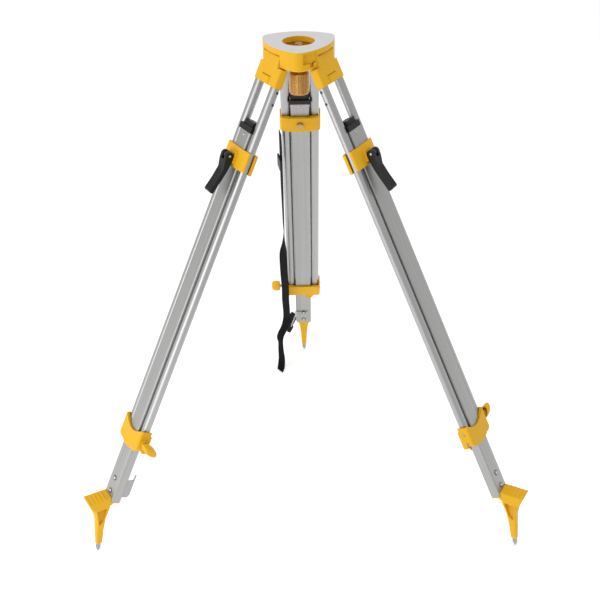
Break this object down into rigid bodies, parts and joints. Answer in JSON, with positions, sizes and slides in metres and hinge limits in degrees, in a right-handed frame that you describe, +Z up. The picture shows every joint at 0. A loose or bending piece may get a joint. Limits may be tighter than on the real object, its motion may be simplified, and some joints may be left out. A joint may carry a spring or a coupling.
{
  "type": "surveying tripod",
  "caption": "Flat-headed surveying tripod whose hinged legs telescope between paired rails, held by cam levers and wing screws, with pointed step-on feet.",
  "frame": {"origin": "bottom centre of the whole tripod's box, on the floor that its feet stand on", "axes": "+Z is up, along the head's vertical axis; +Y points away from the viewer, towards the back leg; +X is the viewer's right"},
  "size_m": [0.9686, 0.8388, 1.068],
  "materials": {
    "yellow_paint": "satin powder coat",
    "aluminium": "satin anodised",
    "steel": "bright zinc plated",
    "brass": "lacquered, fluted",
    "black_plastic": "fine grain",
    "webbing": "woven webbing"
  },
  "bodies": {
    "head": {"tripod_head": "yellow_paint", "hinge_pin_back": "steel", "hinge_pin_left": "steel", "hinge_pin_right": "steel", "arm_pivot_screw": "steel"},
    "swing_arm": {"swing_arm": "steel"},
    "screw_slider": {"screw_bush": "steel"},
    "fixing_screw": {"fixing_stud": "steel", "fixing_knob": "brass"},
    "upper_leg_back": {"leg_cap_back": "yellow_paint", "rail_left_back": "aluminium", "rail_right_back": "aluminium", "lower_clamp_back": "yellow_paint"},
    "lower_leg_back": {"inner_leg_back": "aluminium", "guide_block_back": "black_plastic", "clamp_jaw_outer_back": "yellow_paint", "foot_back": "yellow_paint", "foot_point_back": "steel", "strap": "webbing", "strap_slider": "black_plastic", "strap_clip": "black_plastic", "strap_ring": "steel"},
    "jaw_back": {"clamp_jaw_inner_back": "yellow_paint", "clamp_bolt_back": "steel", "lever_pin_back": "steel"},
    "lever_back": {"clamp_lever_back": "black_plastic"},
    "wing_screw_back": {"wing_stud_back": "steel", "wing_knob_back": "yellow_paint"},
    "upper_leg_left": {"leg_cap_left": "yellow_paint", "rail_left_left": "aluminium", "rail_right_left": "aluminium", "lower_clamp_left": "yellow_paint"},
    "lower_leg_left": {"inner_leg_left": "aluminium", "guide_block_left": "black_plastic", "clamp_jaw_outer_left": "yellow_paint", "foot_left": "yellow_paint", "foot_point_left": "steel", "transport_hook": "steel"},
    "jaw_left": {"clamp_jaw_inner_left": "yellow_paint", "clamp_bolt_left": "steel", "lever_pin_left": "steel"},
    "lever_left": {"clamp_lever_left": "black_plastic"},
    "wing_screw_left": {"wing_stud_left": "steel", "wing_knob_left": "yellow_paint"},
    "upper_leg_right": {"leg_cap_right": "yellow_paint", "rail_left_right": "aluminium", "rail_right_right": "aluminium", "lower_clamp_right": "yellow_paint"},
    "lower_leg_right": {"inner_leg_right": "aluminium", "guide_block_right": "black_plastic", "clamp_jaw_outer_right": "yellow_paint", "foot_right": "yellow_paint", "foot_point_right": "steel"},
    "jaw_right": {"clamp_jaw_inner_right": "yellow_paint", "clamp_bolt_right": "steel", "lever_pin_right": "steel"},
    "lever_right": {"clamp_lever_right": "black_plastic"},
    "wing_screw_right": {"wing_stud_right": "steel", "wing_knob_right": "yellow_paint"}
  },
  "joints": [
    {"name": "arm_swivel", "type": "hinge", "parent": "head", "child": "swing_arm", "pos_m": [0.04763, -0.10161, 1.06801], "axis": [0, 0, 1], "range_deg": [-10, 10]},
    {"name": "screw_slide", "type": "slide", "parent": "swing_arm", "child": "screw_slider", "axis": [0.866, 0.5, 0], "range_m": [-0.009, 0.009]},
    {"name": "screw_spin", "type": "hinge", "parent": "screw_slider", "child": "fixing_screw", "pos_m": [0, -0.12911, 1.06801], "axis": [0, 0, 1], "continuous": true},
    {"name": "leg_hinge_back", "type": "hinge", "parent": "head", "child": "upper_leg_back", "pos_m": [0, -0.07811, 1.04401], "axis": [-1, 0, 0], "range_deg": [-10, 23]},
    {"name": "leg_slide_back", "type": "slide", "parent": "upper_leg_back", "child": "lower_leg_back", "axis": [0, 0.4368, -0.8996], "range_m": [-0.06, 0.575]},
    {"name": "clamp_lever_swing_back", "type": "hinge", "parent": "jaw_back", "child": "lever_back", "pos_m": [0, 0.03689, 0.86792], "axis": [1, 0, 0], "range_deg": [0, 100]},
    {"name": "jaw_release_back", "type": "slide", "parent": "lower_leg_back", "child": "jaw_back", "axis": [0, -0.8996, -0.4368], "range_m": [0, 0.001]},
    {"name": "wing_turn_back", "type": "hinge", "parent": "upper_leg_back", "child": "wing_screw_back", "pos_m": [0, 0.28881, 0.28045], "axis": [-1, 0, 0], "continuous": true},
    {"name": "leg_hinge_left", "type": "hinge", "parent": "head", "child": "upper_leg_left", "pos_m": [-0.04417, -0.15461, 1.04401], "axis": [0.5, -0.866, 0], "range_deg": [-10, 23]},
    {"name": "leg_slide_left", "type": "slide", "parent": "upper_leg_left", "child": "lower_leg_left", "axis": [-0.3783, -0.2184, -0.8996], "range_m": [-0.06, 0.575]},
    {"name": "clamp_lever_swing_left", "type": "hinge", "parent": "jaw_left", "child": "lever_left", "pos_m": [-0.14377, -0.21212, 0.86792], "axis": [-0.5, 0.866, 0], "range_deg": [0, 100]},
    {"name": "jaw_release_left", "type": "slide", "parent": "lower_leg_left", "child": "jaw_left", "axis": [0.779, 0.4498, -0.4368], "range_m": [0, 0.001]},
    {"name": "wing_turn_left", "type": "hinge", "parent": "upper_leg_left", "child": "wing_screw_left", "pos_m": [-0.36193, -0.33807, 0.28045], "axis": [0.5, -0.866, 0], "continuous": true},
    {"name": "leg_hinge_right", "type": "hinge", "parent": "head", "child": "upper_leg_right", "pos_m": [0.04417, -0.15461, 1.04401], "axis": [0.5, 0.866, 0], "range_deg": [-10, 23]},
    {"name": "leg_slide_right", "type": "slide", "parent": "upper_leg_right", "child": "lower_leg_right", "axis": [0.3783, -0.2184, -0.8996], "range_m": [-0.06, 0.575]},
    {"name": "clamp_lever_swing_right", "type": "hinge", "parent": "jaw_right", "child": "lever_right", "pos_m": [0.14377, -0.21212, 0.86792], "axis": [-0.5, -0.866, 0], "range_deg": [0, 100]},
    {"name": "jaw_release_right", "type": "slide", "parent": "lower_leg_right", "child": "jaw_right", "axis": [-0.779, 0.4498, -0.4368], "range_m": [0, 0.001]},
    {"name": "wing_turn_right", "type": "hinge", "parent": "upper_leg_right", "child": "wing_screw_right", "pos_m": [0.36193, -0.33807, 0.28045], "axis": [0.5, 0.866, 0], "continuous": true}
  ],
  "couplings": [
    {"joint": "jaw_release_back", "follows": "clamp_lever_swing_back", "m_per_rad": 0.000573},
    {"joint": "jaw_release_left", "follows": "clamp_lever_swing_left", "m_per_rad": 0.000573},
    {"joint": "jaw_release_right", "follows": "clamp_lever_swing_right", "m_per_rad": 0.000573}
  ]
}
